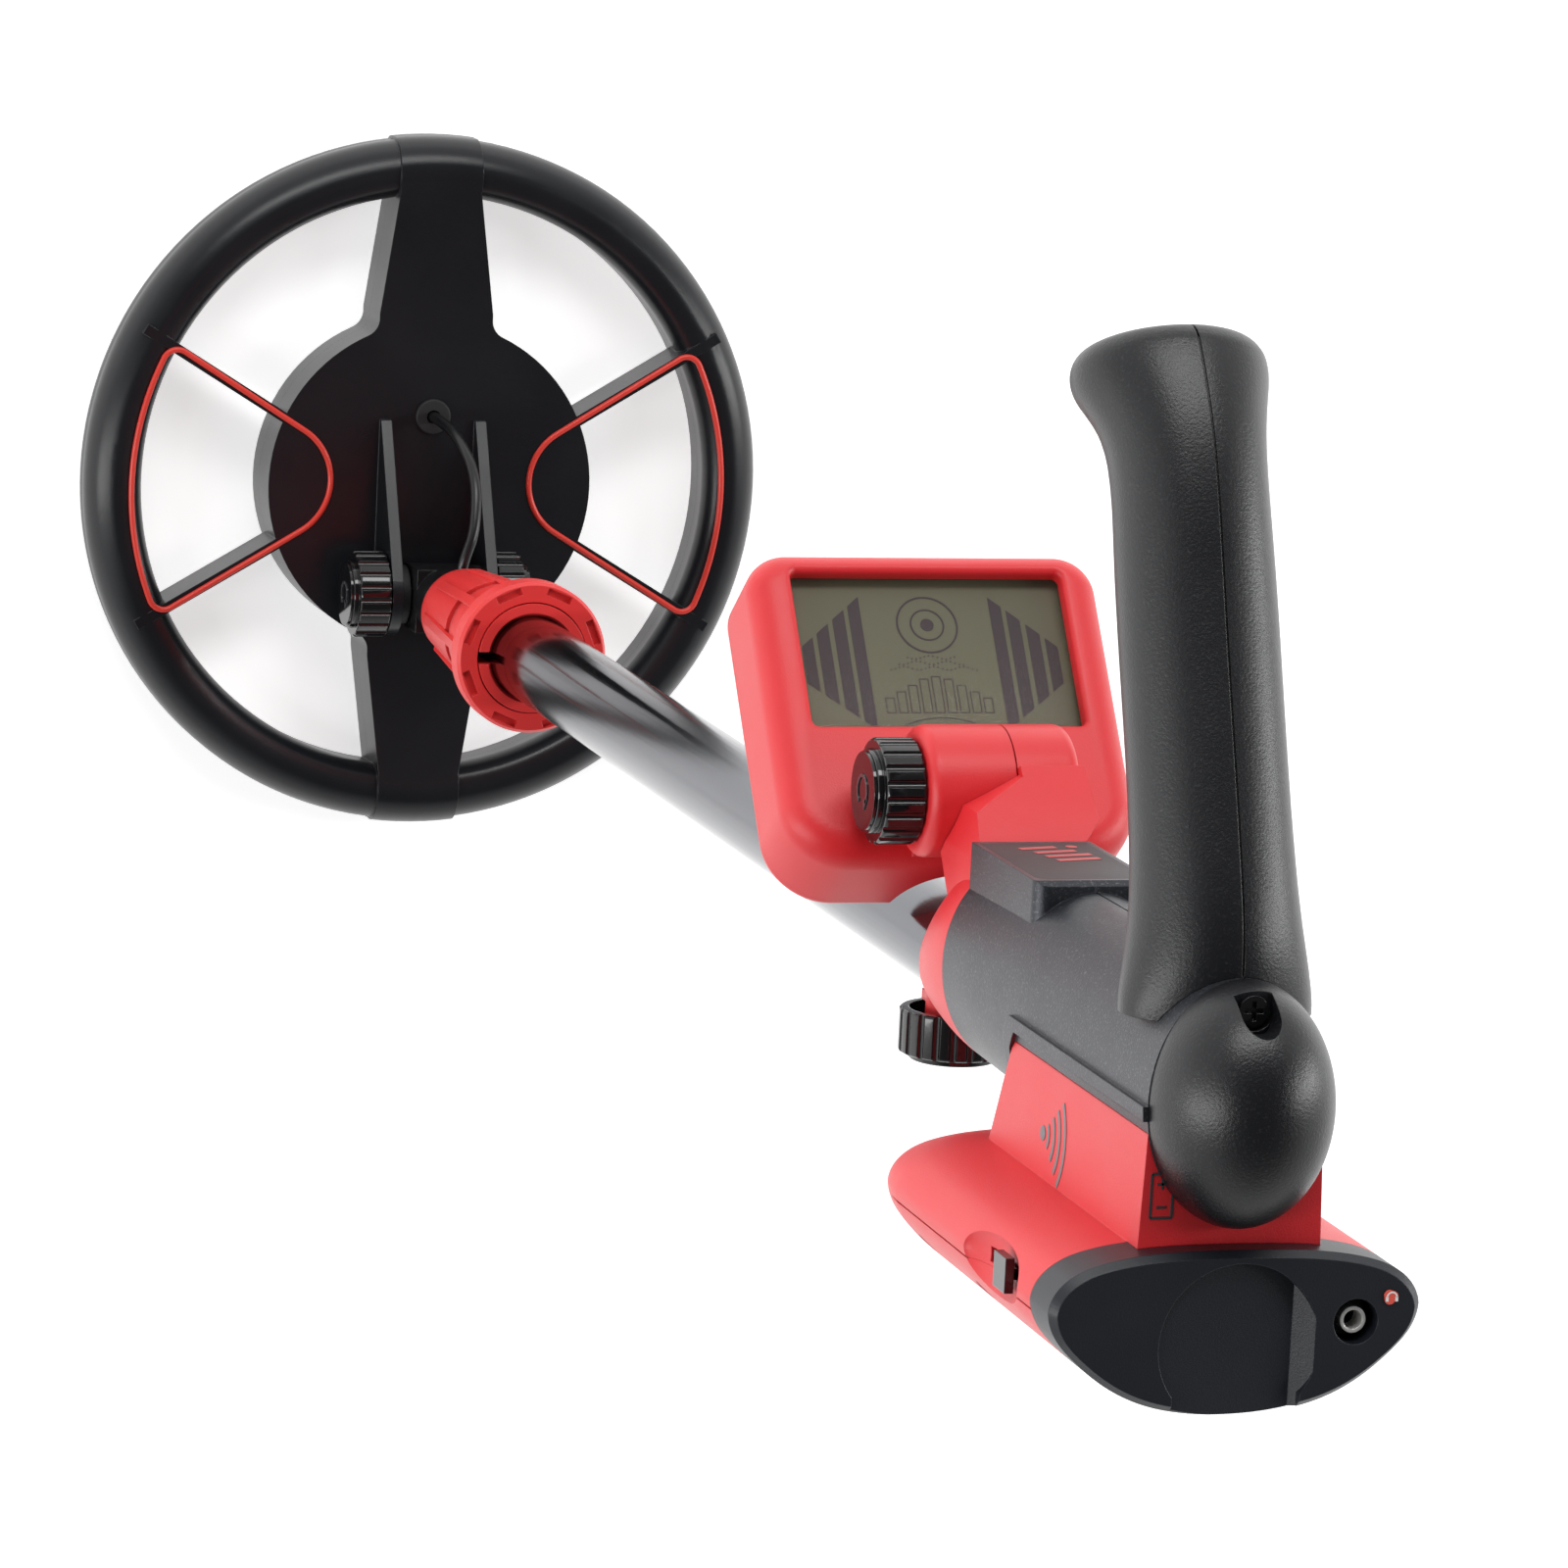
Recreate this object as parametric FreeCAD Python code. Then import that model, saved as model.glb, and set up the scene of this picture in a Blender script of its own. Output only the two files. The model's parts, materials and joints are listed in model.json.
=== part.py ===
"""Small stem metal detector: search coil, two-piece shaft, hand grip, battery box and display.

Millimetres. The coil lies flat with its underside at z = 0. The shaft stands along +Z.
The hand grip and display are on the +Y side, the battery box on the -Y side, +X to the right.
"""
import FreeCAD, Part
import math
import os

V = FreeCAD.Vector
X, Y, Z = V(1, 0, 0), V(0, 1, 0), V(0, 0, 1)

# ---- overall sizes -------------------------------------------------------------------
COIL_R = 94.0            # outer radius of the coil ring
COIL_RING_W = 15.0       # width of the ring, in plan
COIL_T = 20.3            # height of the coil
COIL_SEAM_Z = 8.0        # joint between the two coil shells
HUB_R = 45.0
TRIM_R = 0.8             # radius of the raised red bead
TRIM_Y = -1.0            # how far the beads sit below the coil's middle
TRIM_RING_R = 82.6       # where the bead runs round the ring
TRIM_HUB_R = 16.0        # the bead's bend on the hub
AXIS_Y = -28.0           # the shaft's centre line
PIVOT_Z = 33.0           # height of the coil's pivot
EAR_X = 13.2             # middle of each ear
EAR_T = 3.0
TUBE_R = 10.8
TUBE_WALL = 1.2
ROD_GAP = 0.4            # all round between the lower rod and the tube
TUBE_Z0 = 104.0          # lower end of the tube
NUT_Z0 = 64.0
NUT_Z1 = 138.5
NUT_BORE_R = TUBE_R + 3.7
SLEEVE_Z0 = 516.0
BODY_Z0 = 543.0
BODY_Z1 = 670.0
BODY_Y = -23.0           # centre of the body's oval
BODY_A = 17.8            # half width of the oval
BODY_B = 22.5            # half height of the oval
BODY_B_REAR = 23.3       # and at its rear end
SEAM = 0.45              # width and depth of the groove between two shells
KNOB_FACE = 0.8          # radius of the disc on a knob's face, as a part of the knob's
KNOB_STEP = 1.4          # and how far it stands out
WALL = 2.4
BALL_C = 20.5            # how far the rear ball stands out
BALL_SCREW_X = -0.9      # the screw at the top of the ball
BALL_SCREW_Y = -4.0
BOX_Z0 = 560.0
BOX_Z1 = 664.0
COVER_Z1 = 676.2
BOX_SEAM_Y = -63.0
BOX_MID_Y = -65.5
ROOM_X, ROOM_Y = 0.90, 0.82      # size of the room inside, as a part of the box's outline
PED_X = 18.3             # half width of the pedestal between body and box, at its foot
PED_TOP_X = 17.1         # and at its top
PED_Y1 = -26.5           # top of the pedestal's sides
PED_Z0 = 580.0
PED_LEAN = 9.0           # how far its front face leans back
LIP = 0.9                # how far the body's rim round the pedestal stands out
LIP_W = 3.0              # width of that rim
DECK_Z1 = 584.5          # rear end of the raised deck on the body
DECK_X = 12.5
DECK_Y = 1.8
PED_Z1 = 669.7
GRIP_LEAN = 0.363        # how far the grip leans forward per mm of height
GRIP_Z_AT_0 = 655.2      # the grip's middle at y = 0
HINGE_Y, HINGE_Z = 6.4, 511.2
HINGE_R = 13.7
POD_Y, POD_Z = 42.9, 462.4   # middle of the window's top edge
POD_TILT = 38.03             # degrees
WINDOW_W, WINDOW_H = 60.0, 36.7
POD_HALF = 38.7          # half width of the display case
POD_TOP, POD_LOW = 6.0, -67.5    # its ends, up and down the window from the window's top edge
POD_FRONT, POD_BACK = 3.5, -20.0
POD_SEAM = -17.0
POD_SCREWS = [(-33.4, 0.5), (33.4, 0.5), (-30.8, -59.6), (30.8, -59.6)]
CLAMP_Z = 500.0
JACK_X, JACK_Y = 23.6, -63.8
CELL_X = (-17.9, -3.2, 11.5)     # the three cells, side by side
SPEAKER_Z = 584.5
THUMB_X, THUMB_Y = 0.7, -68.0    # the finger recess in the battery cover
THUMB_R = 15.8
BOX_SCREW_X = 30.0
BOX_SCREW_Y = -68.4      # top of the screws' heads, sunk below the skin
BOX_SCREW_Z = (584, 621)
RUN = 0.08               # radial running clearance of pins in holes
GAP = 0.3                # clearance between other moving faces

ROD_R = TUBE_R - TUBE_WALL - ROD_GAP

nodes = {}


# ---- helpers -------------------------------------------------------------------------
def box(x0, x1, y0, y1, z0, z1):
    return Part.makeBox(x1 - x0, y1 - y0, z1 - z0, V(x0, y0, z0))


def rod(radius, start, axis, length):
    return Part.makeCylinder(radius, length, start, axis)


def pipe(outer, inner, start, axis, length):
    return rod(outer, start, axis, length).cut(rod(inner, start, axis, length))


def fuse(shapes):
    first, rest = shapes[0], shapes[1:]
    return first.fuse(rest).removeSplitter() if rest else first


def prism(points, direction):
    wire = Part.makePolygon(list(points) + [points[0]])
    return Part.Face(wire).extrude(direction)


def side_prism(profile, x0, x1):
    """Extrude a profile of (y, z) points from x0 to x1."""
    return prism([V(x0, y, z) for y, z in profile], V(x1 - x0, 0, 0))


def plan_prism(profile, z0, z1):
    """Extrude a profile of (x, y) points from z0 to z1."""
    return prism([V(x, y, z0) for x, y in profile], V(0, 0, z1 - z0))


def spun(profile, axis=Z, at=V(0, 0, 0), degrees=360.0):
    """Turn a profile of (r, z) points about the Z axis."""
    wire = Part.makePolygon([V(r, 0, z) for r, z in profile] + [V(profile[0][0], 0, profile[0][1])])
    return Part.Face(wire).revolve(at, axis, degrees)


def oval_wire(a, b, y, z):
    wire = Part.Wire(Part.Ellipse(V(0, 0, 0), max(a, b), min(a, b)).toShape())
    if b > a:
        wire.rotate(V(0, 0, 0), Z, 90)
    wire.translate(V(0, y, z))
    return wire


def oval(a, b, y, z0, z1):
    return Part.Face(oval_wire(a, b, y, z0)).extrude(V(0, 0, z1 - z0))


def round_rect(x0, x1, y0, y1, z0, z1, r_top, r_bottom):
    """A slab with rounded corners, seen along Z."""
    slab = box(x0, x1, y0, y1, z0, z1)
    low = [e for e in slab.Edges if upright(e) and e.BoundBox.YMin < y0 + 1e-3]
    slab = slab.makeFillet(r_bottom, low)
    high = [e for e in slab.Edges if upright(e) and e.BoundBox.YMax > y1 - 1e-3 and sharp(e, x0, x1)]
    return slab.makeFillet(r_top, high)


def upright(edge):
    box_ = edge.BoundBox
    return box_.XLength < 1e-3 and box_.YLength < 1e-3


def sharp(edge, x0, x1):
    return abs(edge.BoundBox.XMin - x0) < 1e-3 or abs(edge.BoundBox.XMin - x1) < 1e-3


def turned(shape, point, axis, degrees):
    copy = shape.copy()
    copy.rotate(point, axis, degrees)
    return copy


def moved(shape, by):
    copy = shape.copy()
    copy.translate(by)
    return copy


def stretched(shape, sx, sy, sz):
    matrix = FreeCAD.Matrix()
    matrix.scale(sx, sy, sz)
    return shape.transformGeometry(matrix)


def fluted_knob(radius, length, bore, flutes, skirt=0.0):
    """A hand knob standing on z = 0: a fluted rim with a lower disc on its face."""
    rim = rod(radius, V(0, 0, 0), Z, length)
    rim = rim.makeFillet(0.7, [e for e in rim.Edges if e.Closed])
    groove_r = 0.9
    cuts = []
    for i in range(flutes):
        angle = 2 * math.pi * i / flutes
        spot = V((radius + 0.3) * math.cos(angle), (radius + 0.3) * math.sin(angle), 0.0)
        cuts.append(rod(groove_r, spot, Z, length))
    cuts.append(rod(bore, V(0, 0, 0), Z, length - 1.5))
    if skirt:
        cuts.append(rod(radius - 2.0, V(0, 0, 0), Z, skirt))
    face = rod(KNOB_FACE * radius, V(0, 0, length - 1.0), Z, 1.0 + KNOB_STEP)
    face = face.makeFillet(0.4, [e for e in face.Edges if e.Closed and e.BoundBox.ZMin > length])
    return rim.cut(cuts).fuse(face)


def along_x(shape, x, y, z, sign):
    """Lay a piece that stands on +Z down along +X or -X, with its foot at x."""
    return moved(turned(shape, V(0, 0, 0), Y, 90 * sign), V(x, y, z))


def screw(point, axis, head_r, shank_r, length):
    """A pan-head screw. The head's top is at the point and the shank runs along the axis."""
    head = rod(head_r, point, axis, 1.6)
    shank = rod(shank_r, point + axis * 1.6, axis, length)
    across = box(-head_r * 0.62, head_r * 0.62, -0.4, 0.4, 0, 1.1)
    cross = across.fuse(turned(across, V(0, 0, 0), Z, 90))
    cross.Placement = FreeCAD.Placement(point, FreeCAD.Rotation(Z, axis))
    return head.fuse(shank).cut(cross)


# ---- search coil ---------------------------------------------------------------------
def ring_profile(inset):
    inner = COIL_R - COIL_RING_W + inset
    outer = COIL_R - inset
    low, high = max(0.0, inset * 0.9), COIL_T - inset
    points = [V(inner + 0.6, 0, low), V(outer - 3.4, 0, low), V(outer, 0, 0.45 * high),
              V(outer - 7.2, 0, high), V(inner + 2.6, 0, high - 0.9), V(inner, 0, 0.6 * high)]
    sides = [Part.LineSegment(points[0], points[1]),
             Part.Arc(points[1], V(outer - 0.8, 0, low + 3.2), points[2]),
             Part.Arc(points[2], V(outer - 2.1, 0, 0.84 * high), points[3]),
             Part.Arc(points[3], V(inner + 5.2, 0, high - 0.1), points[4]),
             Part.Arc(points[4], V(inner + 0.5, 0, 0.82 * high), points[5]),
             Part.LineSegment(points[5], points[0])]
    return Part.Wire([s.toShape() for s in sides])


def coil_ring():
    return Part.Face(ring_profile(0.0)).revolve(V(0, 0, 0), Z, 360)


def wide_spoke(sign):
    """The broad spoke, with its foot rounded into the hub and its end wrapped over the ring."""
    near, far, root = 15.8, 11.0, 5.0
    points = [(-near, 0), (near, 0), (near, sign * 47), (far, sign * 82), (far, sign * 88),
              (-far, sign * 88), (-far, sign * 82), (-near, sign * 47)]
    shape = plan_prism(points, 0, COIL_T)
    hub = rod(HUB_R, V(0, 0, 0), Z, COIL_T)
    joined = shape.fuse(hub).removeSplitter()
    corners = [e for e in joined.Edges if upright(e) and 35 < abs(e.BoundBox.YMin) < HUB_R]
    joined = joined.makeFillet(root, corners)
    wrap = Part.Face(ring_profile(-0.7)).revolve(V(0, 0, 0), Z, 360)
    wedge = box(-far - 0.4, far + 0.4, min(sign * 70, sign * 110), max(sign * 70, sign * 110), 0, 30)
    slab = joined.common(rod(COIL_R - 4.0, V(0, 0, 0), Z, COIL_T))
    return slab.fuse(wrap.common(wedge))


def blade(x_sign, y_in, y_out):
    """A thin upright spoke between the hub and the ring."""
    start, end = V(x_sign * 38, y_in, 0), V(x_sign * 80, y_out, 0)
    run = end - start
    angle = math.degrees(math.atan2(run.y, run.x))
    piece = box(0, run.Length, -1.4, 1.4, 6.0, COIL_T)
    return moved(turned(piece, V(0, 0, 0), Z, angle), start)


def trim_path(side):
    """The closed bead: out along one blade, round the ring, back, and over the hub."""
    point = V(side * 13.2, 1.85, 0)
    wedge = plan_prism([(point.x, point.y), (side * 110, 62.2), (side * 110, -56.7)], 0, COIL_T)
    sector = wedge.common(rod(TRIM_RING_R, V(0, 0, 0), Z, COIL_T))
    sector = moved(sector, V(0, TRIM_Y, 0))
    inner = [e for e in sector.Edges if upright(e) and abs(e.BoundBox.XMin) < 20]
    sector = sector.makeFillet(TRIM_HUB_R, inner)
    outer = [e for e in sector.Edges if upright(e) and abs(e.BoundBox.XMin) > 60]
    sector = sector.makeFillet(4.0, outer)
    top = [f for f in sector.Faces if f.BoundBox.ZMin > COIL_T - 0.01][0]
    return top.OuterWire


def trim_bead(side):
    path = trim_path(side)
    path = Part.Wire(Part.__sortEdges__(path.Edges))
    edge = path.OrderedEdges[0]
    start = edge.valueAt(edge.FirstParameter)
    section = Part.Wire(Part.Circle(start, edge.tangentAt(edge.FirstParameter), TRIM_R).toShape())
    return path.makePipeShell([section], True, False, 0)


def ear(side):
    x0 = side * EAR_X - EAR_T / 2
    round_top = rod(11.0, V(x0, AXIS_Y, PIVOT_Z), X, EAR_T)
    rib = side_prism([(18, COIL_T - 1), (18, COIL_T + 1.5), (AXIS_Y + 5, PIVOT_Z + 9.8), (AXIS_Y - 11, PIVOT_Z),
                      (AXIS_Y - 12.5, COIL_T - 1)], x0, x0 + EAR_T)
    boss = rod(7.5, V(x0, AXIS_Y, PIVOT_Z), X, EAR_T)
    return fuse([rib, round_top, boss])


def build_coil():
    hub = rod(HUB_R, V(0, 0, 0), Z, COIL_T)
    hub = hub.makeFillet(1.6, [e for e in hub.Edges if e.Closed and e.BoundBox.ZMin > 1])
    blades = [blade(x, 17.3 + TRIM_Y, 42.8 + TRIM_Y) for x in (-1, 1)]
    blades += [blade(x, -13.0 + TRIM_Y, -37.9 + TRIM_Y) for x in (-1, 1)]
    solid = fuse([coil_ring(), hub, wide_spoke(1), wide_spoke(-1)] + blades)

    ring_room = spun([(82.2, 2.6), (90.6, 2.6), (90.6, 14.6), (82.2, 14.6)])
    hub_room = rod(39.0, V(0, 0, 2.8), Z, 14.0)
    channel = box(-3.5, 3.5, 36, 84, 3.0, 7.5)
    solid = solid.cut([ring_room, hub_room, channel])

    lead_hole = rod(3.4, V(0, 19.0, 10), Z, 20)
    beads = [trim_bead(-1), trim_bead(1)]
    half = box(-120, 120, -120, 120, -5, COIL_SEAM_Z)
    upper = fuse([solid.cut(half), ear(-1), ear(1)])
    pivot_hole = rod(4.0, V(-30, AXIS_Y, PIVOT_Z), X, 60)
    nodes["coil_upper_shell"] = upper.cut(beads + [lead_hole, pivot_hole])
    nodes["coil_lower_shell"] = solid.common(half)
    nodes["red_trim_left"], nodes["red_trim_right"] = beads

    nodes["tx_winding"] = spun([(84.0, 3.2), (89.5, 3.2), (89.5, 10.8), (84.0, 10.8)])
    nodes["rx_winding"] = spun([(26.0, 2.8), (31.0, 2.8), (31.0, 8.8), (26.0, 8.8)])
    flange = rod(4.85, V(0, 19.0, COIL_T), Z, 1.2)
    flange = flange.makeFillet(0.5, [e for e in flange.Edges if e.BoundBox.ZMin > COIL_T + 1])
    grommet = flange.fuse(rod(3.4, V(0, 19.0, 16.8), Z, COIL_T - 16.8))
    nodes["cable_grommet"] = grommet.cut(rod(1.8, V(0, 19.0, 10), Z, 20))


def build_coil_lead():
    """The cable from the coil's grommet, over and down between the ears, to the lower rod."""
    points = [V(0, 19, 12), V(0, 19, 17), V(0, 19, 22), V(0.3, 18.7, 27), V(2.5, 16.5, 36), V(5.5, 7, 48),
              V(4.2, -7, 55), V(0.8, AXIS_Y + ROD_R + 1.2, 56.5)]
    curve = Part.BSplineCurve()
    curve.interpolate(Points=points, InitialTangent=V(0, 0, 10), FinalTangent=V(-1, -12, 0))
    path = Part.Wire(curve.toShape())
    section = Part.Wire(Part.Circle(points[0], Z, 1.5).toShape())
    nodes["coil_lead"] = path.makePipeShell([section], True, True)


# ---- pivot and lower rod -------------------------------------------------------------
def build_pivot():
    ear_out = EAR_X + EAR_T / 2
    ear_in = EAR_X - EAR_T / 2
    nodes["pivot_bolt"] = rod(4.0, V(-21.5, AXIS_Y, PIVOT_Z), X, 41.8)
    for side, name, length in ((-1, "left", 8.6), (1, "right", 7.3)):
        knob = fluted_knob(11.6, length, 4.0 + RUN, 20)
        knob = along_x(knob, side * (ear_out + GAP), AXIS_Y, PIVOT_Z, side)
        cap = rod(8.6, V(0, 0, 0), Z, 0.7)
        cap = along_x(cap, side * (ear_out + GAP + length + KNOB_STEP), AXIS_Y, PIVOT_Z, side)
        nodes["pivot_knob_" + name] = knob
        nodes["pivot_cap_" + name] = cap
    washers = []
    for side in (-1, 1):
        x0 = 9.0 if side > 0 else -ear_in
        washers.append(pipe(8.0, 4.0, V(x0, AXIS_Y, PIVOT_Z), X, ear_in - 9.0))
    nodes["pivot_washers"] = Part.makeCompound(washers)


def build_lower_rod():
    top = 470.0
    stem = pipe(ROD_R, ROD_R - 1.8, V(0, AXIS_Y, 62), Z, top - 62)
    neck = rod(ROD_R, V(0, AXIS_Y, 44), Z, 18).cut(rod(3.5, V(0, AXIS_Y, 52), Z, 10))
    half = 9.0 - GAP
    tongue = box(-half, half, AXIS_Y - 8.6, AXIS_Y + 8.6, PIVOT_Z, 46)
    eye = rod(8.6, V(-half, AXIS_Y, PIVOT_Z), X, 2 * half)
    root = fuse([tongue, eye]).common(rod(12.5, V(0, AXIS_Y, 20), Z, 30))
    shape = fuse([root, neck, stem])
    side_hole = rod(1.9, V(0.8, AXIS_Y, 56.5), Y, 12)
    nodes["lower_rod"] = shape.cut([rod(4.0 + RUN, V(-20, AXIS_Y, PIVOT_Z), X, 40), side_hole])
    nodes["inner_lead"] = rod(1.5, V(0.8, AXIS_Y, 58.0), Z, top - 62)


# ---- twist lock and tube -------------------------------------------------------------
def build_lock_nut():
    low, high = NUT_Z0, NUT_Z1
    outer = spun([(0, low), (11.2, low), (12.0, low + 1.2), (14.6, low + 44), (15.8, high - 8.5),
                  (18.9, high - 8.0), (19.7, high - 7.2), (19.7, high - 1.0), (18.9, high), (0, high)])
    ribs = []
    for i in range(8):
        rib = side_prism([(11.4, low + 6), (13.3, low + 10), (17.4, high - 8), (13.0, high - 8)],
                         -1.3, 1.3)
        ribs.append(turned(rib, V(0, 0, 0), Z, 45 * i))
    outer = fuse([outer] + ribs)
    bore = rod(ROD_R + GAP + 0.2, V(0, 0, low - 1), Z, high - low + 2)
    room = rod(NUT_BORE_R, V(0, 0, TUBE_Z0 - 3), Z, high - TUBE_Z0 + 4)
    slots = []
    for i in range(8):
        slot = box(16.4, 18.3, -3.4, 3.4, high - 1.4, high + 1)
        slots.append(turned(slot, V(0, 0, 0), Z, 22.5 + 45 * i))
    nut = outer.cut([bore, room] + slots)
    nodes["lock_nut"] = moved(nut, V(0, AXIS_Y, 0))

    collet = spun([(TUBE_R, TUBE_Z0 + 1), (NUT_BORE_R - GAP, TUBE_Z0 + 1),
                   (NUT_BORE_R - GAP, high + 0.6), (TUBE_R + 0.9, high + 0.6), (TUBE_R, high - 1)])
    split = box(-20, 0, -1.6, 1.6, TUBE_Z0, high + 2)
    nodes["collet"] = moved(collet.cut(split), V(0, AXIS_Y, 0))


def build_tube():
    nodes["upper_tube"] = pipe(TUBE_R, TUBE_R - TUBE_WALL, V(0, AXIS_Y, TUBE_Z0), Z, 650 - TUBE_Z0)
    nodes["tube_bush"] = pipe(12.3, TUBE_R, V(0, AXIS_Y, SLEEVE_Z0 - 1.5), Z, 12)


# ---- sleeve, bracket and clamp -------------------------------------------------------
def build_sleeve():
    nose = Part.makeLoft([oval_wire(13.6, 13.9, AXIS_Y, SLEEVE_Z0),
                          oval_wire(15.6, 18.0, -25.4, SLEEVE_Z0 + 9),
                          oval_wire(17.0, 21.2, -23.4, SLEEVE_Z0 + 19),
                          oval_wire(17.4, 21.9, BODY_Y, BODY_Z0)], True, False)
    arm_side = side_prism([(-14, 527), (-14, BODY_Z0), (0.6, BODY_Z0), (7.5, 532), (14, 524.5),
                           (HINGE_Y, HINGE_Z), (-6, 521)], -12, 19)
    arm_front = plan_prism([(-11.5, -16), (10.5, -16), (10.5, 0), (17.0, 5), (17.0, 22),
                            (3.1, 22), (3.1, 12), (-8.9, 6.0), (-11.5, -2.0)], 500, 550)
    barrel = rod(HINGE_R, V(3.1, HINGE_Y, HINGE_Z), X, 13.9)
    barrel = barrel.makeFillet(2.5, [e for e in barrel.Edges if e.BoundBox.XMin > 16])
    boss = box(-5.5, 5.5, AXIS_Y - 13.0, AXIS_Y - TUBE_R, CLAMP_Z - 6, SLEEVE_Z0 + 14)
    pad = rod(6.2, V(0, AXIS_Y - 17.0, CLAMP_Z), Y, 8)
    sleeve = fuse([nose, arm_side.common(arm_front), barrel, boss, pad])
    cuts = [rod(HINGE_R + GAP, V(-20, HINGE_Y, HINGE_Z), X, 23.1),
            rod(TUBE_R, V(0, AXIS_Y, 480), Z, 80),
            rod(12.3, V(0, AXIS_Y, SLEEVE_Z0 - 2), Z, 12.5),
            rod(3.0, V(-1, HINGE_Y, HINGE_Z), X, 30),
            rod(5.6, V(14.0, HINGE_Y, HINGE_Z), X, 10),
            rod(2.5, V(0, -55, CLAMP_Z), Y, 20)]
    nodes["front_sleeve"] = sleeve.cut(cuts)
    nodes["clamp_screw"] = rod(2.5, V(0, -49.3, CLAMP_Z), Y, AXIS_Y - TUBE_R + 49.3)
    knob = fluted_knob(11.6, 9.4, 2.5 + RUN, 20, skirt=3.5)
    knob = turned(knob, V(0, 0, 0), X, 90)
    nodes["clamp_knob"] = moved(knob, V(0, AXIS_Y - 17.0 + 3.5 - GAP, CLAMP_Z))


# ---- body, grip and ball -------------------------------------------------------------
def rear_ball_solid():
    ball = stretched(Part.makeSphere(1.0), BODY_A - 0.2, BODY_B_REAR + 0.2, BALL_C)
    return moved(ball, V(0, BODY_Y, BODY_Z1)).common(box(-40, 40, -80, 40, BODY_Z1, BODY_Z1 + 40))


def body_skin(extra=0.0):
    """The body's outer shape, or one that is larger all round."""
    return Part.makeLoft([oval_wire(17.4 + extra, 21.9 + extra, BODY_Y, BODY_Z0),
                          oval_wire(BODY_A + extra, BODY_B + extra, BODY_Y, 575),
                          oval_wire(BODY_A + extra, BODY_B_REAR + extra, BODY_Y, BODY_Z1)], True, True)


def pedestal_side(grow):
    """The pedestal's outline from the side, grown by a margin, with its leaning front."""
    top = PED_Y1 + grow
    return side_prism([(-60, PED_Z0 - grow), (BOX_MID_Y + 14, PED_Z0 - grow),
                       (top - 4.0, PED_Z0 + PED_LEAN - grow), (top, PED_Z0 + PED_LEAN + 4.0 - grow),
                       (top, BODY_Z1), (-60, BODY_Z1)], -30, 30)


def pedestal_seat():
    """Everything the body leaves to the pedestal, a small gap included."""
    return body_skin(2.0).common(pedestal_side(GAP / 2))


def build_body():
    outer = body_skin()
    rim = body_skin(LIP).common(pedestal_side(LIP_W)).cut(pedestal_seat())
    inner = oval(BODY_A - WALL, BODY_B - WALL, BODY_Y, BODY_Z0, BODY_Z1)
    deck = side_prism([(-9, BODY_Z0), (DECK_Y, BODY_Z0), (DECK_Y, DECK_Z1 - 1.5), (DECK_Y - 1.0, DECK_Z1),
                       (-9, DECK_Z1)], -DECK_X, DECK_X)
    corners = [e for e in deck.Edges if e.BoundBox.ZMin > DECK_Z1 - 2 and e.BoundBox.XLength < 1e-3]
    deck = deck.makeFillet(3.0, [e for e in corners if e.BoundBox.YLength > 5])
    shell = fuse([outer.fuse(rim), deck]).cut(inner)
    plates = []
    for z in (556, 642):
        plate = oval(BODY_A - WALL, BODY_B - WALL, BODY_Y, z, z + 3)
        plates.append(plate.cut(rod(TUBE_R, V(0, AXIS_Y, z), Z, 3)))
    shell = fuse([shell] + plates)
    wire_hole = box(-8, 8, -48, -38, 600, 630)
    badge_room = badge_slab(DECK_Y - 0.7, 3.0)
    seam = box(-SEAM / 2, SEAM / 2, -0.6 - SEAM, 6, DECK_Z1 - 0.1, BODY_Z1)
    shell = shell.cut([wire_hole, badge_room, seam, box(-11.5, 11.5, -15, -12, 552, 650)])
    shell = shell.cut(screw_holes())
    nodes["body_left"] = shell.common(box(-40, 0, -60, 20, 500, 700))
    nodes["body_right"] = shell.common(box(0, 40, -60, 20, 500, 700))
    nodes["badge_plate"] = badge_slab(DECK_Y - 0.7, DECK_Y)
    nodes["main_board"] = box(-11, 11, -14.4, -12.8, 562, 638)
    return outer.fuse(rim)


def badge_slab(y0, y1):
    """The plate let into the deck, rounded at its rear corners."""
    slab = box(-DECK_X + 1.1, DECK_X - 1.1, y0, y1, BODY_Z0 + 1.5, DECK_Z1 - 2.6)
    rear = [e for e in slab.Edges if e.BoundBox.XLength < 1e-3 and e.BoundBox.ZMin > DECK_Z1 - 3
            and e.BoundBox.YLength > 0.1 and e.BoundBox.ZLength < 1e-3]
    return slab.makeFillet(2.6, rear)


def grip_middle(y):
    return GRIP_Z_AT_0 - GRIP_LEAN * y


# height, half width, half depth, forward shift and tilt in degrees of each section of the grip
GRIP_SECTIONS = [(-9, 18.7, 13.0, 4.0, 0), (-2, 18.0, 14.6, 2.2, 0), (8, 16.4, 16.0, 0.6, 0),
                 (20, 15.5, 16.4, 0, 0), (45, 15.2, 16.4, 0, 0), (72, 15.1, 16.3, 0, 2),
                 (86, 14.9, 16.2, 0.3, 7), (94, 15.6, 16.5, 2.0, 15), (99.5, 17.4, 17.4, 5.0, 23),
                 (103.2, 18.8, 18.2, 7.6, 27), (106.0, 18.8, 18.2, 8.9, 27)]


def grip_loft(inset, y_low, y_high):
    wires = []
    for y, a, b, shift, tilt in GRIP_SECTIONS:
        if y_low <= y <= y_high:
            wires.append(grip_wire(a - inset, b - inset, y, shift, tilt))
    return Part.makeLoft(wires, True, False)


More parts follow.
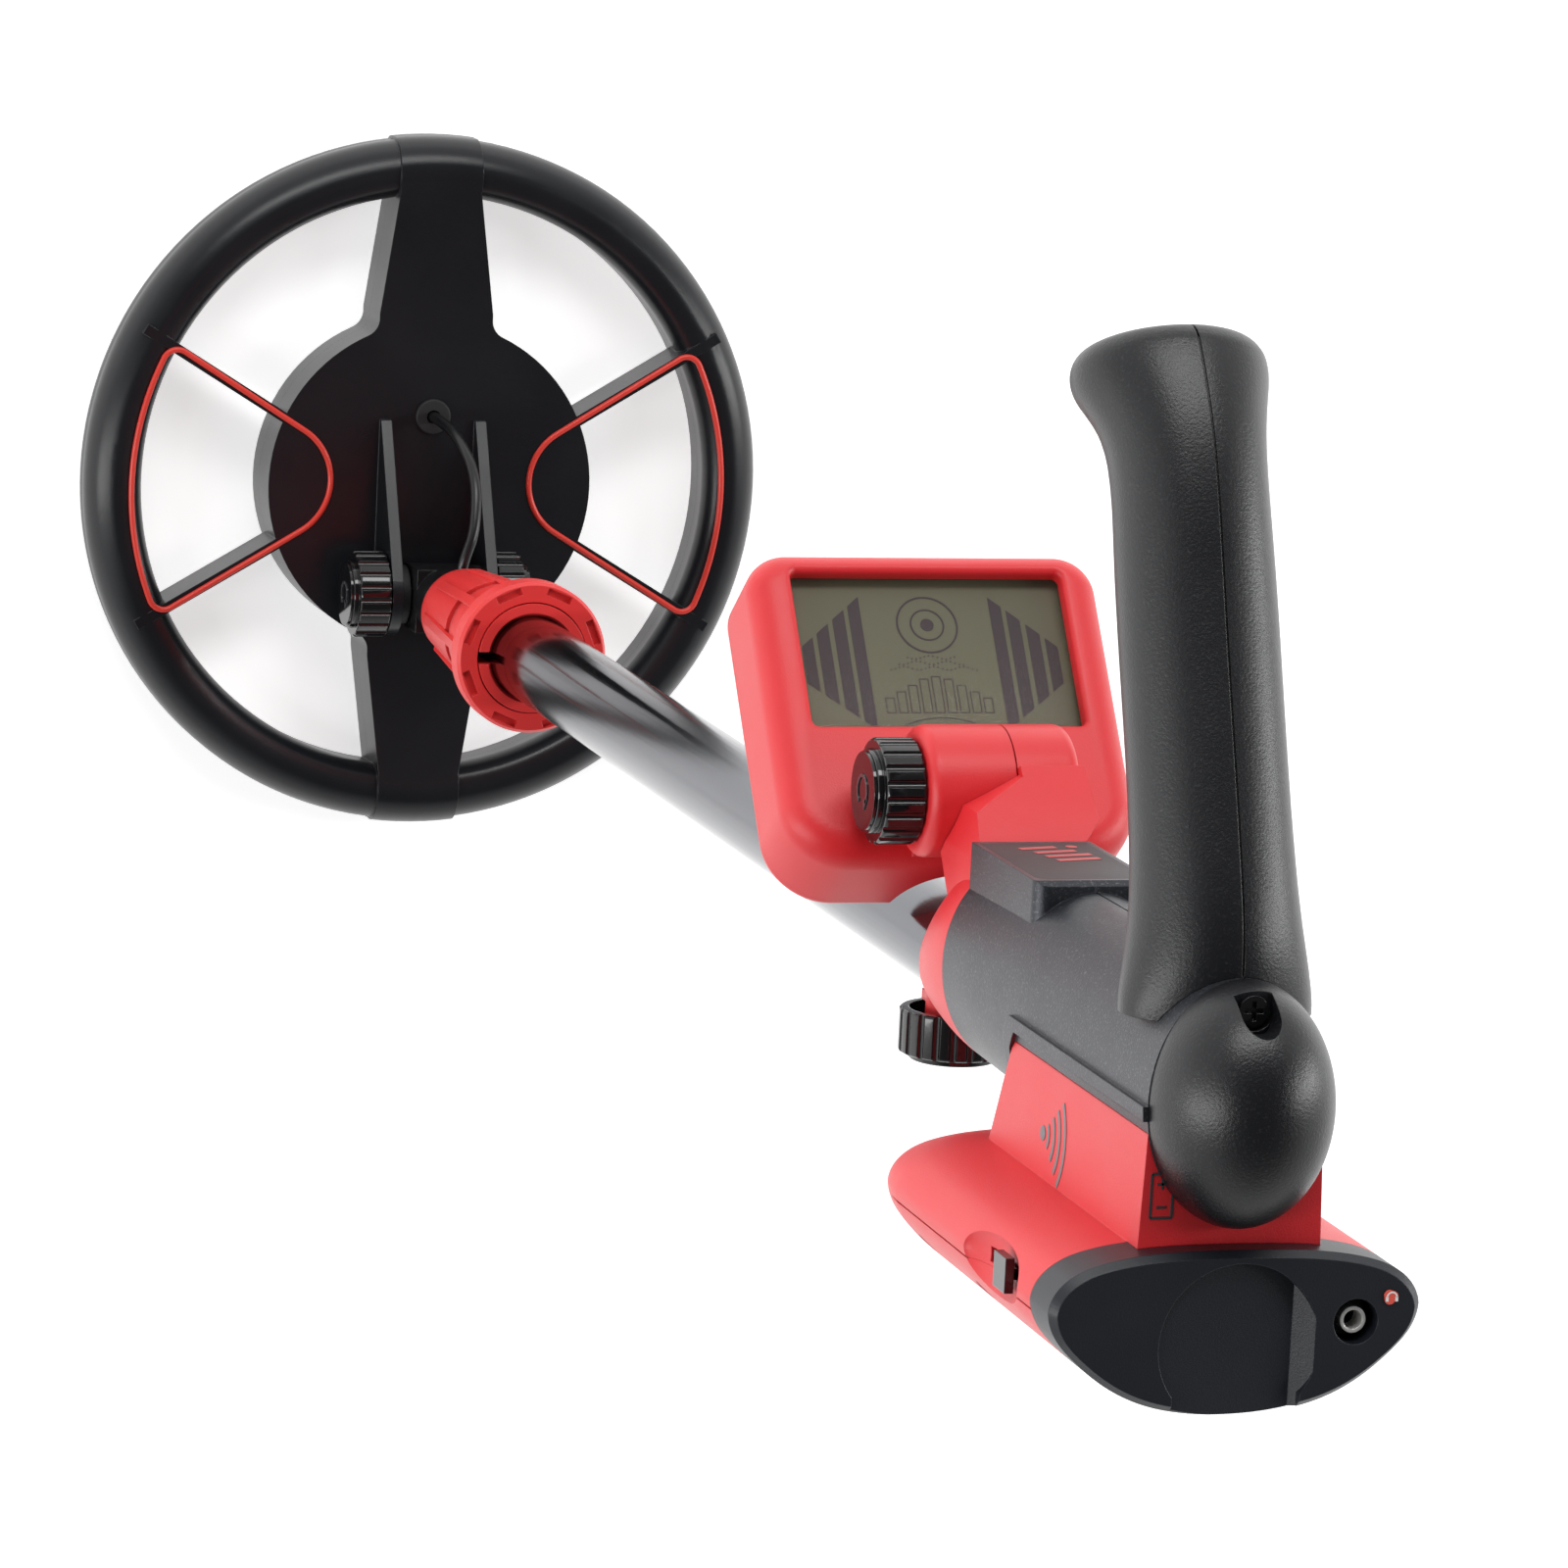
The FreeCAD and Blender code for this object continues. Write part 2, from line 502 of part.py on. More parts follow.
def grip_wire(a, b, y, shift=0.0, tilt=0.0):
    wire = Part.Wire(Part.Ellipse(V(0, 0, 0), max(a, b), min(a, b)).toShape())
    if b > a:
        wire.rotate(V(0, 0, 0), Z, 90)
    wire.rotate(V(0, 0, 0), X, 90 - tilt)
    wire.translate(V(0, y, grip_middle(y) - shift))
    return wire


def screw_points():
    return [V(17.0, -36, 566), V(17.0, -36, 634), V(14.6, 30, grip_middle(30)), V(14.6, 82, grip_middle(82))]


def screw_holes():
    holes = []
    for p in screw_points():
        holes.append(rod(1.5, V(-6, p.y, p.z), X, 30))
        holes.append(rod(3.0, V(p.x - 4.0, p.y, p.z), X, 12))
    return holes


def build_grip(body):
    outer = grip_loft(0.0, -20, 120)
    top = Part.makeLoft([grip_wire(18.8, 18.2, 106.0, 8.9, 27), grip_wire(17.6, 17.0, 108.0, 9.8, 27),
                         grip_wire(13.0, 12.4, 109.0, 10.3, 27)], True, False)
    inner = grip_loft(WALL, 0, 100)
    bosses = []
    for p in screw_points()[2:]:
        bosses.append(rod(4.5, V(-13.4, p.y, p.z), X, 27.4).common(outer))
    shell = fuse([outer, top]).cut(inner)
    shell = fuse([shell] + bosses)
    saddle = oval(BODY_A, BODY_B, BODY_Y, 560, BODY_Z1).fuse(box(-40, 40, -60, 2.0, 540, 592))
    seam = box(-SEAM / 2, SEAM / 2, 0.5, 130, 560, 720).cut(grip_loft(SEAM, -20, 120))
    shell = shell.cut([saddle, rear_ball_solid(), body, seam])
    shell = shell.cut(screw_holes())
    nodes["grip_left"] = shell.common(box(-40, 0, -60, 140, 500, 720))
    nodes["grip_right"] = shell.common(box(0, 40, -60, 140, 500, 720))
    bolts = []
    for p in screw_points():
        length = 4.0 if p.y < 0 else 12.0
        bolts.append(screw(V(p.x - 2.4, p.y, p.z), V(-1, 0, 0), 2.9, 1.5, length))
    nodes["shell_screws"] = Part.makeCompound(bolts)


def build_ball():
    ball = rear_ball_solid()
    room = moved(stretched(Part.makeSphere(1.0), BODY_A - 3.0, BODY_B - 3.4, BALL_C - 2.8),
                 V(0, BODY_Y, BODY_Z1))
    x, y, floor = BALL_SCREW_X, BALL_SCREW_Y, BODY_Z1 + 6.0
    recess = rod(3.7, V(x, y, floor), Z, 20).fuse(box(x - 3.7, x + 3.7, y, 0.2, floor, floor + 20))
    pillar = rod(4.8, V(x, y, BODY_Z1), Z, 8).common(ball)
    ball = ball.cut(room).fuse(pillar).cut([recess, rod(1.5, V(x, y, BODY_Z1 - 1), Z, 20)])
    nodes["rear_ball"] = ball
    nodes["ball_screw"] = screw(V(x, y, floor + 1.6), V(0, 0, -1), 2.9, 1.5, 5.5)


# ---- battery box ---------------------------------------------------------------------
BOX_TOP = [(0.0, -49.9), (9.0, -50.0), (17.5, -50.5), (25.5, -51.8), (31.5, -54.0), (35.3, -57.4), (36.6, -60.9)]
BOX_BOTTOM = [(0.0, -81.4), (9.0, -80.9), (17.5, -79.0), (25.0, -75.3), (31.0, -70.5), (35.3, -65.4),
              (36.6, -60.9)]


def box_wire(z, sx=1.0, sy=1.0):
    """The box's lens-shaped outline: one curve over the top and one under the bottom."""
    edges = []
    for half in (BOX_TOP, BOX_BOTTOM):
        right = [V(x * sx, BOX_MID_Y + (y - BOX_MID_Y) * sy, z) for x, y in half]
        left = [V(-p.x, p.y, p.z) for p in reversed(right[1:])]
        curve = Part.BSplineCurve()
        curve.interpolate(Points=left + right)
        edges.append(curve.toShape())
    return Part.Wire(Part.__sortEdges__(edges))


def box_solid(z0, z1, sx=1.0, sy=1.0):
    return Part.Face(box_wire(z0, sx, sy)).extrude(V(0, 0, z1 - z0))


def build_box(body):
    nose_z = BOX_Z0 + 20
    nose = Part.makeLoft([box_wire(BOX_Z0, 0.72, 0.56), box_wire(BOX_Z0 + 2.0, 0.84, 0.74),
                          box_wire(BOX_Z0 + 6.5, 0.93, 0.88), box_wire(BOX_Z0 + 13, 0.98, 0.965),
                          box_wire(nose_z, 1.0, 1.0)], True, False)
    solid = nose.fuse(box_solid(nose_z, BOX_Z1)).removeSplitter()
    room = box_solid(BOX_Z0 + 12, BOX_Z1, ROOM_X, ROOM_Y)

    taper = plan_prism([(-PED_X, -55.5), (PED_X, -55.5), (PED_TOP_X, -24.0), (-PED_TOP_X, -24.0)],
                       PED_Z0 - 5, PED_Z1)
    pedestal = taper.common(pedestal_side(0.0))
    pedestal = pedestal.fuse(taper.common(box(-30, 30, -56, PED_Y1, BODY_Z1 - 2, PED_Z1)))
    seat = body_skin()
    hollow = box(-PED_X + WALL, PED_X - WALL, -54, -29.0, PED_Z0 + WALL, PED_Z1 - WALL)
    pedestal = pedestal.cut([hollow, seat, rear_ball_solid(), room,
                             box(-30, 30, -90, -49.6, BOX_Z1, 700).common(box_solid(BOX_Z1, 700))])
    opening = box(-12, 12, -56, -45, 596, 650)
    shell = solid.cut(room)
    solid_inset = box_solid(BOX_Z0 + 3, BOX_Z1, 1.0 - SEAM / 36.0, 1.0)
    top = fuse([shell.cut(box(-60, 60, -120, BOX_SEAM_Y, 540, 700)), pedestal]).cut(opening)
    bottom = shell.common(box(-60, 60, -120, BOX_SEAM_Y, 540, 700))

    scallop = moved(stretched(Part.makeSphere(1.0), 4.5, 7.4, 16.5), V(-37.2, -60.8, 640))
    slot = box(-40, -28, -62.3, -59.3, 631, 650)
    groove = box(-60, 60, BOX_SEAM_Y - SEAM / 2, BOX_SEAM_Y + SEAM / 2, 540, BOX_Z1)
    groove = groove.cut(solid_inset)
    grille = [rod(1.2, V(0, -84, SPEAKER_Z), Y, 12)]
    for i in range(8):
        a = math.pi / 4 * i
        grille.append(rod(1.2, V(9 * math.cos(a), -84, SPEAKER_Z + 9 * math.sin(a)), Y, 12))
    posts, holes, screws = [], [], []
    for x in (-BOX_SCREW_X, BOX_SCREW_X):
        for z in BOX_SCREW_Z:
            posts.append(rod(3.8, V(x, -84, z), Y, 27).common(solid))
            holes.append(rod(1.3, V(x, -84, z), Y, 25))
            holes.append(rod(2.7, V(x, -84, z), Y, 84 + BOX_SCREW_Y + 1.6))
            screws.append(screw(V(x, BOX_SCREW_Y, z), Y, 2.6, 1.3, 7.5))
    low_half = box(-60, 60, -120, BOX_SEAM_Y, 540, 700)
    top = fuse([top] + [p.cut(low_half) for p in posts])
    bottom = fuse([bottom] + [p.common(low_half) for p in posts])
    nodes["battery_box_upper"] = top.cut([scallop, slot, groove] + holes)
    nodes["battery_box_lower"] = bottom.cut([scallop, slot, groove] + grille + holes)
    nodes["box_screws"] = Part.makeCompound(screws)
    slider = box(-36.3, -34.5, -64.2, -57.4, 641.2, 648.2).fuse(box(-34.6, -28.0, -61.9, -59.7, 643, 647))
    nodes["switch_slider"] = slider
    nodes["switch_body"] = box(-28.8, -25.3, -64.4, -58.2, 631, 653).cut(
        box(-29.3, -27.4, -61.9 - GAP, -59.7 + GAP, 632, 652))
    nodes["headphone_jack"] = jack_parts()[0]
    nodes["jack_ring"] = jack_parts()[1]


def jack_parts():
    at = V(JACK_X, JACK_Y, 0)
    body = rod(4.0, at + Z * 652, Z, 18).cut(rod(1.85, at + Z * 659, Z, 12))
    ring = pipe(2.55, 1.85, at + Z * 670, Z, 4.6)
    return body, ring


def build_power():
    cells, springs = [], []
    for x in CELL_X:
        cell = rod(7.1, V(x, -65.0, 606), Z, 49.2).fuse(rod(2.7, V(x, -65.0, 655.2), Z, 1.3))
        cells.append(cell)
        springs.append(rod(4.0, V(x, -65.0, 601), Z, 4.9).cut(rod(2.8, V(x, -65.0, 602), Z, 4)))
    nodes["battery_cells"] = Part.makeCompound(cells)
    nodes["battery_springs"] = Part.makeCompound(springs)
    wall = box_solid(599, 601, ROOM_X, ROOM_Y)
    nodes["battery_bulkhead"] = wall.cut(box(-8, 8, -56, -50, 590, 610))
    speaker = rod(12.5, V(0, -77.0, SPEAKER_Z), Y, 3.0).fuse(rod(7.0, V(0, -74.0, SPEAKER_Z), Y, 5.0))
    nodes["speaker"] = speaker


def build_cover():
    sides = box_solid(BOX_Z1 + 0.1, COVER_Z1 - 1.6)
    bevel = Part.makeLoft([box_wire(COVER_Z1 - 1.6), box_wire(COVER_Z1, 0.962, 0.92)], True, True)
    plug = box_solid(BOX_Z1 - 4, BOX_Z1 + 0.1, 0.87, 0.76).cut(box_solid(BOX_Z1 - 4, BOX_Z1 + 0.1, 0.81, 0.69))
    cover = fuse([sides, bevel, plug])
    ball_room = box(-PED_X - 0.3, PED_X + 0.3, -49.6, -20, 600, PED_Z1 + GAP)
    reach = rod(THUMB_R, V(THUMB_X, THUMB_Y, COVER_Z1 - 5), Z, 10)
    reach = reach.fuse(box(THUMB_X - 12.6, THUMB_X + 12.6, -90, THUMB_Y - 9, COVER_Z1 - 5, COVER_Z1 + 5))
    slope = [V(-20, -100, COVER_Z1 - 0.2), V(12, -100, COVER_Z1 - 3.0), V(17, -100, COVER_Z1 + 1),
             V(17, -100, COVER_Z1 + 9), V(-20, -100, COVER_Z1 + 9)]
    thumb = prism(slope, V(0, 60, 0)).common(reach)
    hollow = box_solid(BOX_Z1 - 5, COVER_Z1 - 4.6, 0.81, 0.69)
    jack_room = rod(4.4, V(JACK_X, JACK_Y, 655), Z, 30)
    cover = cover.cut([thumb, hollow, jack_room, ball_room])
    nodes["battery_cover"] = cover
    badge = [V(28.6, -57.4, 0), V(32.6, -58.6, 0), V(29.4, -61.6, 0)]
    shape = prism([p + Z * (COVER_Z1 + 0.0) for p in badge], V(0, 0, 0.3))
    nodes["headphone_badge"] = shape.makeFillet(1.0, [e for e in shape.Edges if upright(e)])
    plates = []
    for x in CELL_X:
        plates.append(box(x - 5.5, x + 5.5, -69.5, -60.5, 657.2, 657.6))
    carrier = box(-26, 19.0, -70.5, -59.5, 657.6, BOX_Z1 + 8).common(
        box_solid(BOX_Z1 - 8, COVER_Z1 - 4.6, 0.81, 0.69))
    nodes["contact_plates"] = Part.makeCompound(plates)
    nodes["contact_carrier"] = carrier.cut(jack_room)


# ---- display -------------------------------------------------------------------------
def to_pod(shape):
    """Move a piece from the window's own frame (y up the window, z out of it) to the row."""
    return moved(turned(shape, V(0, 0, 0), X, -POD_TILT), V(0, POD_Y, POD_Z))


def pod_slab(z0, z1, inset=0.0):
    return round_rect(-POD_HALF + inset, POD_HALF - inset, POD_LOW + inset, POD_TOP - inset, z0, z1,
                      9.0 - inset, 14.0 - inset)


def build_pod():
    front = pod_slab(POD_SEAM, POD_FRONT)
    front = front.makeFillet(6.8, [e for e in front.Edges if e.BoundBox.ZMin > POD_FRONT - 0.1])
    rear = pod_slab(POD_BACK, POD_SEAM)
    rear = rear.makeFillet(2.5, [e for e in rear.Edges if e.BoundBox.ZMax < POD_BACK + 0.1])
    channel = tube_room(12.6)
    channel.append(rod(HINGE_R + GAP, V(3.1 - GAP, HINGE_Y, HINGE_Z), X, 13.9 + 2 * GAP))
    room = to_pod(pod_slab(POD_SEAM, -1.5, WALL)).cut(tube_room(14.8))
    skin = pod_slab(POD_SEAM, POD_FRONT)

    window_room = box(-WINDOW_W / 2 - 1.5, WINDOW_W / 2 + 1.5, -WINDOW_H - 1.5, 1.5, -1.6, 0)
    opening = box(-WINDOW_W / 2, WINDOW_W / 2, -WINDOW_H, 0, -1, POD_FRONT)
    opening = opening.makeFillet(1.5, [e for e in opening.Edges if upright(e)])
    front = front.cut([window_room, opening])
    brim = [e for e in front.Edges if e.BoundBox.ZMin > POD_FRONT - 0.01 and within_window(e)]
    front = front.makeFillet(1.4, brim)

    lug = rod(HINGE_R, V(-15.3, HINGE_Y, HINGE_Z), X, 18.1)
    lug = lug.makeFillet(2.5, [e for e in lug.Edges if e.BoundBox.XMax < -15])
    foot = to_pod(box(-12.5, 2.8, -66.5, -46.0, 1.0, 14.0))
    bolt_hole = rod(3.0 + RUN, V(-30, HINGE_Y, HINGE_Z), X, 60)
    posts, holes, heads, screws = [], [], [], []
    for x, y in POD_SCREWS:
        posts.append(to_pod(rod(3.4, V(x, y, POD_SEAM), Z, 9.0).common(skin)))
        holes.append(to_pod(rod(1.3, V(x, y, POD_BACK), Z, 11.0)))
        heads.append(to_pod(rod(2.7, V(x, y, POD_BACK - 1), Z, 2.6)))
        screws.append(to_pod(screw(V(x, y, POD_BACK), Z, 2.6, 1.3, 9.0)))
    case = fuse([to_pod(front).cut(room), lug, foot] + posts)
    nodes["pod_front_bezel"] = case.cut(channel + holes + [bolt_hole])
    nodes["pod_rear_cover"] = to_pod(rear).cut(channel + holes + heads)
    nodes["pod_screws"] = Part.makeCompound(screws)
    nodes["lcd_window"] = to_pod(window_room)
    nodes["lcd_module"] = to_pod(box(-32.5, 32.5, -39.5, 2.8, -6.4, -1.7))
    nodes["display_board"] = to_pod(box(-29, 29, -55, 3.0, -9.4, -7.8))


def within_window(edge):
    size = edge.BoundBox
    return abs(size.XMin) < WINDOW_W / 2 + 0.1 and abs(size.XMax) < WINDOW_W / 2 + 0.1


def tube_room(radius):
    """Room for the tube in the display case, with the case level and tilted back."""
    level = rod(radius, V(0, AXIS_Y, 400), Z, 200)
    return [level, turned(level, V(0, HINGE_Y, HINGE_Z), X, 10)]


def build_hinge():
    bolt = rod(3.0, V(-22.3, HINGE_Y, HINGE_Z), X, 22.3 + 14.0)
    head = rod(4.9, V(14.0, HINGE_Y, HINGE_Z), X, 2.4)
    socket = turned(box(-1.6, 1.6, -1.6, 1.6, 0, 1.6), V(0, 0, 0), Y, 90)
    nodes["hinge_bolt"] = bolt.fuse(head).cut(moved(socket, V(15.2, HINGE_Y, HINGE_Z)))
    knob = fluted_knob(11.0, 8.4, 3.0 + RUN, 20)
    nodes["display_knob"] = along_x(knob, -15.3 - GAP, HINGE_Y, HINGE_Z, -1)
    cap = rod(8.2, V(0, 0, 0), Z, 0.7)
    nodes["display_knob_cap"] = along_x(cap, -15.3 - GAP - 8.4 - KNOB_STEP, HINGE_Y, HINGE_Z, -1)


# ---- build and write -----------------------------------------------------------------
def main():
    build_coil()
    build_coil_lead()
    build_pivot()
    build_lower_rod()
    build_lock_nut()
    build_tube()
    build_sleeve()
    body = build_body()
    build_grip(body)
    build_ball()
    build_box(body)
    build_power()
    build_cover()
    build_pod()
    build_hinge()
    os.makedirs("parts", exist_ok=True)
    for name, shape in nodes.items():
        shape.exportStep(os.path.join("parts", name + ".step"))


main()
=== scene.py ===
"""Metal detector: materials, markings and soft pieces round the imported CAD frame.

Lengths are metres in the row frame, except in the sections that say mm.
"""

import json
import math

import bmesh
import bpy
from mathutils import Matrix, Vector


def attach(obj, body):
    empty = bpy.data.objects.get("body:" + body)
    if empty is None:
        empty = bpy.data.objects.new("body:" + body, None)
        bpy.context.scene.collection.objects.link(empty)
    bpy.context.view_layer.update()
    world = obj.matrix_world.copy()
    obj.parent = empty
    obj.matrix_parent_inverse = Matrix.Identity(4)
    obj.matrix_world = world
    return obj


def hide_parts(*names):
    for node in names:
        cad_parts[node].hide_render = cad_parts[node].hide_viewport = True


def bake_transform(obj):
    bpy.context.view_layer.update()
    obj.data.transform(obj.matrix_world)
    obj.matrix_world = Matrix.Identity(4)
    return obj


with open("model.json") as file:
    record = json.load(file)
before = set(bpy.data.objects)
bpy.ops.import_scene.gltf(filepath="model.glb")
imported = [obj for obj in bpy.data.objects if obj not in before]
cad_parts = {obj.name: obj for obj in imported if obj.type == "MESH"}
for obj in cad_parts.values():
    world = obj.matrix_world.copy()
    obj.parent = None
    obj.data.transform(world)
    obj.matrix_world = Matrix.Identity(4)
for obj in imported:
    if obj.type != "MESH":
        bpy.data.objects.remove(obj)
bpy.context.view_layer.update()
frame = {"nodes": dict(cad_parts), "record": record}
NODES = frame["nodes"]
MM = 0.001

# ---- camera and light ----------------------------------------------------------------
CAMERA_AT = (-0.44581, 0.25574, 1.84737)
CAMERA_RIGHT = (0.95876, 0.04848, 0.28004)
CAMERA_UP = (0.00327, 0.98340, -0.18142)
CAMERA_BACK = (-0.28419, 0.17485, 0.94269)
LENS_MM = 159.306
SENSOR_MM = 36.0
LIGHT_FOCUS = (0, 0, 0.45)
FLOOR_HALF = 6.0                     # half the floor's width
FLOOR_DROP = 0.0005                  # keeps the floor clear of the coil's flat underside
FLOOR_GLOW = 0.62
HORIZON_LIGHT = 0.95
ZENITH_LIGHT = 0.10
FADE_FROM, FADE_TO = 0.15, 0.80      # height of the direction, as a sine, where the light fades

# ---- finish --------------------------------------------------------------------------
MOTTLE_SCALE = 45.0                  # size of the wide colour mottling, in blotches per metre
GLOSS_VARY = 0.06                    # how much the roughness varies over a surface
GRAIN_DEPTH = 0.0002                 # height of the fine grain
SPECK_FROM, SPECK_TO = 0.56, 0.72    # which part of the fine noise turns into bright specks
SPLIT_ANGLE = math.radians(32)       # edges sharper than this stay sharp
WELD_REACH = 1e-6

# ---- sizes shared with the CAD frame, in mm ------------------------------------------
WINDOW_AT = (0.0, 42.9, 462.4)       # middle of the display window's top edge
WINDOW_TILT = math.radians(-38.03)
SCREEN_DEPTH = -1.69                 # back of the printed marks, just in front of the LCD module
SCREEN_THICK = 0.05                  # thickness of the screen's marks
PRINT_THICK = 0.12                   # and of the printed marks
LEAD_DIAMETER = 3.0
LEAD_ROUTE_MM = [(0, 19, 20.6), (0, 19, 24), (0.3, 18.7, 29), (2.5, 16.5, 38), (5.5, 7, 50),
                 (4.2, -7, 56.5), (1.4, -14.5, 57.2), (0.8, -18.5, 56.6), (0.8, -21.5, 56.5)]
DECK_TOP = 1.8                       # top of the badge plate, along Y
COVER_BADGE_TOP = 676.5
PEDESTAL_REAR = 669.7
PEDESTAL_FOOT_Y, PEDESTAL_FOOT_HALF = -55.5, 18.3
PEDESTAL_LEAN = 1.2 / 31.5           # how much the pedestal's sides draw in per mm of height

# ---- the screen's marks, in mm from the middle of the window's top edge ---------------
FAN_START = 14.3                     # where the fans' slanted ends begin
FAN_TOP, FAN_TOP_SLOPE = -3.4, -0.86
FAN_LOW, FAN_LOW_SLOPE = -35.4, 0.80
FAN_BARS = ((15.7, 1.35), (19.4, 1.4), (23.3, 1.4), (27.0, 1.3))       # middle and half width
TARGET_V = -10.2
DOT_ROWS = ((-18.0, 5.5), (-19.3, 7.5), (-20.6, 9.5))                  # height and half length
DOT_STEP, DOT_RADIUS = 0.95, 0.2
METER_FOOT, METER_STEP, METER_HALF = -31.2, 2.7, 0.95
METER_HEIGHTS = (3.5, 5.0, 6.5, 8.0, 8.6, 8.0, 6.5, 5.0, 3.5)

# ---- other marks, in mm --------------------------------------------------------------
ARROW_RADIUS, ARROW_START, ARROW_END = 3.2, -40, 230
BADGE_BARS = ((-5.0, 4.0, 3.0, 2.4), (-3.0, 8.0, 6.0, 6.2), (-2.0, 12.0, 8.0, 10.0),
              (-1.0, 16.0, 8.5, 14.1))


# ---- camera, floor and lights --------------------------------------------------------
def link(tree, a, b):
    tree.links.new(a, b)


def make_camera():
    data = bpy.data.cameras.new("camera")
    data.lens = LENS_MM
    data.sensor_width = SENSOR_MM
    data.clip_start = 0.05
    data.clip_end = 20.0
    camera = bpy.data.objects.new("camera", data)
    bpy.context.scene.collection.objects.link(camera)
    columns = [CAMERA_RIGHT, CAMERA_UP, CAMERA_BACK]
    turn = Matrix([[c[row] for c in columns] for row in range(3)]).to_4x4()
    camera.matrix_world = Matrix.Translation(CAMERA_AT) @ turn
    bpy.context.scene.camera = camera


def area_light(name, at, size, power):
    """A rectangular lamp that points at the middle of the object."""
    data = bpy.data.lights.new(name, "AREA")
    data.shape = "RECTANGLE"
    data.size, data.size_y = size
    data.energy = power
    lamp = bpy.data.objects.new(name, data)
    bpy.context.scene.collection.objects.link(lamp)
    lamp.location = at
    lamp.rotation_mode = "QUATERNION"
    lamp.rotation_quaternion = (Vector(LIGHT_FOCUS) - Vector(at)).to_track_quat("-Z", "Y")


def make_stage():
    """A pale floor, the room's light and three soft lamps round the object."""
    mesh = bpy.data.meshes.new("floor")
    half = FLOOR_HALF
    corners = [(-half, -half, 0), (half, -half, 0), (half, half, 0), (-half, half, 0)]
    mesh.from_pydata(corners, [], [(0, 1, 2, 3)])
    floor = bpy.data.objects.new("floor", mesh)
    bpy.context.scene.collection.objects.link(floor)
    floor.location.z = -FLOOR_DROP
    mat = bpy.data.materials.new("floor")
    mat.use_nodes = True
    shader = mat.node_tree.nodes["Principled BSDF"]
    shader.inputs["Base Color"].default_value = (0.93, 0.93, 0.93, 1)
    shader.inputs["Roughness"].default_value = 0.95
    shader.inputs["Specular IOR Level"].default_value = 0.1
    shader.inputs["Emission Color"].default_value = (1, 1, 1, 1)
    shader.inputs["Emission Strength"].default_value = FLOOR_GLOW
    floor.data.materials.append(mat)
    make_world()
    area_light("soft_left", (-1.9, -0.2, 1.2), (0.4, 1.8), 17)
    area_light("soft_right", (1.9, 0.3, 1.3), (0.4, 1.8), 18)
    area_light("soft_top", (-0.1, 1.7, 1.5), (1.8, 0.5), 20)
    bpy.context.scene.view_settings.view_transform = "Standard"


def make_world():
    """A room that is bright near the horizon and dark overhead, so black pieces stay black."""
    world = bpy.data.worlds.new("world")
    bpy.context.scene.world = world
    world.use_nodes = True
    tree = world.node_tree
    coords = tree.nodes.new("ShaderNodeTexCoord")
    parts = tree.nodes.new("ShaderNodeSeparateXYZ")
    fade = tree.nodes.new("ShaderNodeMapRange")
    fade.interpolation_type = "SMOOTHSTEP"
    fade.inputs["From Min"].default_value = FADE_FROM
    fade.inputs["From Max"].default_value = FADE_TO
    fade.inputs["To Min"].default_value = HORIZON_LIGHT
    fade.inputs["To Max"].default_value = ZENITH_LIGHT
    link(tree, coords.outputs["Generated"], parts.inputs["Vector"])
    link(tree, parts.outputs["Z"], fade.inputs["Value"])
    background = tree.nodes["Background"]
    background.inputs["Color"].default_value = (1, 1, 1, 1)
    link(tree, fade.outputs["Result"], background.inputs["Strength"])


# ---- materials -----------------------------------------------------------------------
def noise(tree, vector, scale, detail, rough=0.5):
    node = tree.nodes.new("ShaderNodeTexNoise")
    node.inputs["Scale"].default_value = scale
    node.inputs["Detail"].default_value = detail
    node.inputs["Roughness"].default_value = rough
    link(tree, vector, node.inputs["Vector"])
    return node.outputs["Fac"]


def spread(tree, value, low, high, start=0.0, end=1.0):
    """A value from start to end, spread to low to high."""
    node = tree.nodes.new("ShaderNodeMapRange")
    node.inputs["From Min"].default_value = start
    node.inputs["From Max"].default_value = end
    node.inputs["To Min"].default_value = low
    node.inputs["To Max"].default_value = high
    link(tree, value, node.inputs["Value"])
    return node.outputs["Result"]


def mottled_colour(tree, color, wide, fine, mottle, speck):
    tint = tree.nodes.new("ShaderNodeVectorMath")
    tint.operation = "SCALE"
    tint.inputs[0].default_value = color
    link(tree, spread(tree, wide, 1.0 - mottle, 1.0 + mottle), tint.inputs["Scale"])
    if not speck:
        return tint.outputs["Vector"]
    plus = tree.nodes.new("ShaderNodeVectorMath")
    plus.operation = "ADD"
    link(tree, tint.outputs["Vector"], plus.inputs[0])
    link(tree, spread(tree, fine, 0.0, speck, SPECK_FROM, SPECK_TO), plus.inputs[1])
    return plus.outputs["Vector"]


def soft_normal(tree, edge, fine, grain):
    """Edges that look rounded, with a fine grain on top."""
    bevel = tree.nodes.new("ShaderNodeBevel")
    bevel.samples = 6
    bevel.inputs["Radius"].default_value = edge
    if not grain:
        return bevel.outputs["Normal"]
    bump = tree.nodes.new("ShaderNodeBump")
    bump.inputs["Strength"].default_value = grain
    bump.inputs["Distance"].default_value = GRAIN_DEPTH
    link(tree, fine, bump.inputs["Height"])
    link(tree, bevel.outputs["Normal"], bump.inputs["Normal"])
    return bump.outputs["Normal"]


